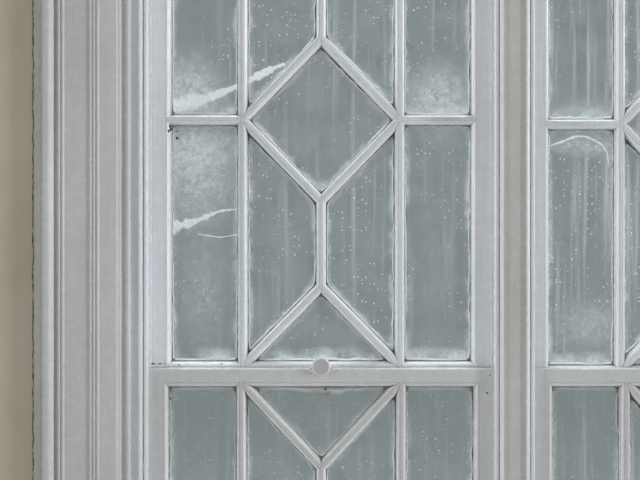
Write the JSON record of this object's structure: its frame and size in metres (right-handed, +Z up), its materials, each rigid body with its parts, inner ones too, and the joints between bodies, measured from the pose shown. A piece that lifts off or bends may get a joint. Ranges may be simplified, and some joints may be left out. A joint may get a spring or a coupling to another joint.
{
  "type": "canted bay window with lattice-glazed sash lights",
  "caption": "Canted bay window with painted box sashes, diamond lattice glazing bars and a wide reeded architrave inside.",
  "frame": {"origin": "centre of the box that holds the bay, on the ground", "axes": "+Z up, +Y outdoors along the normal of the front lights, -Y into the room; +X to the right as seen from the room"},
  "size_m": [5.024, 1.2671, 3.3225],
  "materials": {
    "rendered_masonry": "matte",
    "dressed_stone": "matte",
    "sheet_lead": "matte",
    "plaster": "matte",
    "painted_softwood": "satin",
    "window_glass": "gloss",
    "painted_iron": "satin"
  },
  "bodies": {
    "root": {"base_wall": "rendered_masonry", "stone_sill": "dressed_stone", "pier_front_left": "rendered_masonry", "pier_front_right": "rendered_masonry", "pier_rear_left": "rendered_masonry", "pier_rear_right": "rendered_masonry", "ring_beam": "rendered_masonry", "cornice": "dressed_stone", "roof": "sheet_lead", "ceiling": "plaster", "window_board": "painted_softwood", "front_jamb_boxes": "painted_softwood", "front_mullion": "painted_softwood", "front_frame_head": "painted_softwood", "front_timber_sill": "painted_softwood", "front_staff_beads": "painted_softwood", "front_parting_beads": "painted_softwood", "front_architrave_left": "painted_softwood", "front_architrave_right": "painted_softwood", "front_architrave_head": "painted_softwood", "front_left_upper_sash": "painted_softwood", "front_left_lower_sash": "painted_softwood", "front_left_upper_glass": "window_glass", "front_left_lower_glass": "window_glass", "front_left_fastener": "painted_iron", "front_right_upper_sash": "painted_softwood", "front_right_lower_sash": "painted_softwood", "front_right_upper_glass": "window_glass", "front_right_lower_glass": "window_glass", "front_right_fastener": "painted_iron", "side_left_frame": "painted_softwood", "side_left_timber_sill": "painted_softwood", "side_left_beads": "painted_softwood", "side_left_architrave": "painted_softwood", "side_left_upper_sash": "painted_softwood", "side_left_lower_sash": "painted_softwood", "side_left_glass": "window_glass", "side_left_fastener": "painted_iron", "side_right_frame": "painted_softwood", "side_right_timber_sill": "painted_softwood", "side_right_beads": "painted_softwood", "side_right_architrave": "painted_softwood", "side_right_upper_sash": "painted_softwood", "side_right_lower_sash": "painted_softwood", "side_right_glass": "window_glass", "side_right_fastener": "painted_iron"}
  },
  "joints": []
}
